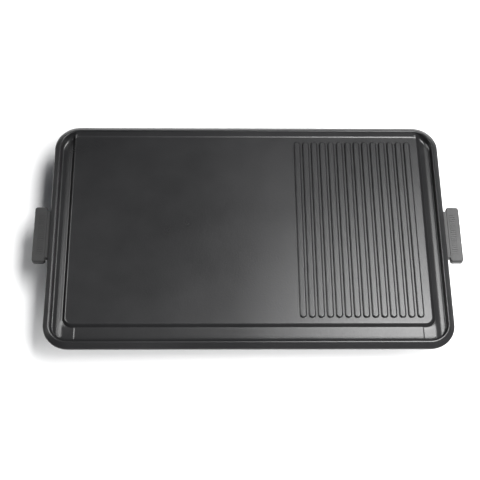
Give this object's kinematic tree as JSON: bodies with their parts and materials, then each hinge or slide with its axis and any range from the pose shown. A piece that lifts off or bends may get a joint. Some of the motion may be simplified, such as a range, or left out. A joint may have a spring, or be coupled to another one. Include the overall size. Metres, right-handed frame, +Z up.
{
  "type": "electric griddle",
  "caption": "Wide electric griddle: non-stick plate, part smooth and part ribbed, with grease troughs and two tab handles, lifting off a low base with a loop heating element.",
  "frame": {"origin": "middle of the bounding box at the underside of the feet", "axes": "+X to the right along the plate's long side, +Y to the rear, away from the grease channel, +Z up"},
  "size_m": [0.615, 0.36, 0.07],
  "materials": {
    "coating": "cast aluminium under a semi-gloss charcoal non-stick coating with a fine grain",
    "phenolic": "black heat-resistant moulding, finely textured",
    "housing": "black glass-filled plastic, satin",
    "reflector": "bright aluminised sheet",
    "sheath": "heat-darkened steel tube",
    "steel": "plated steel",
    "ceramic": "unglazed steatite",
    "rubber": "matte",
    "silicone": "matte heat-resistant silicone",
    "aluminium_block": "plain cast"
  },
  "bodies": {
    "base": {"base_housing": "housing", "reflector_pan": "reflector", "heating_element": "sheath", "probe_socket": "phenolic", "probe_guide": "steel", "heat_pickup": "aluminium_block", "foot_front_left": "rubber", "foot_front_right": "rubber", "foot_rear_left": "rubber", "foot_rear_right": "rubber", "foot_screw_front_left": "steel", "foot_screw_front_right": "steel", "foot_screw_rear_left": "steel", "foot_screw_rear_right": "steel", "plate_pad_front_left": "silicone", "plate_pad_front_right": "silicone", "plate_pad_rear_left": "silicone", "plate_pad_rear_right": "silicone", "pan_screw_front_left": "steel", "pan_screw_front_right": "steel", "pan_screw_rear_left": "steel", "pan_screw_rear_right": "steel", "element_clip_front_left": "steel", "element_clip_front_right": "steel", "element_clip_rear_left": "steel", "element_clip_rear_right": "steel", "terminal_insulator_front": "ceramic", "terminal_insulator_rear": "ceramic", "terminal_pin_front": "steel", "terminal_pin_rear": "steel", "socket_screw_front": "steel", "socket_screw_rear": "steel"},
    "plate": {"griddle_plate": "coating", "handle_left": "phenolic", "handle_right": "phenolic", "handle_screw_left_front": "steel", "handle_screw_left_rear": "steel", "handle_screw_right_front": "steel", "handle_screw_right_rear": "steel"}
  },
  "joints": [
    {"name": "plate_lift", "type": "slide", "parent": "base", "child": "plate", "axis": [0, 0, 1], "range_m": [0, 0.06]}
  ]
}
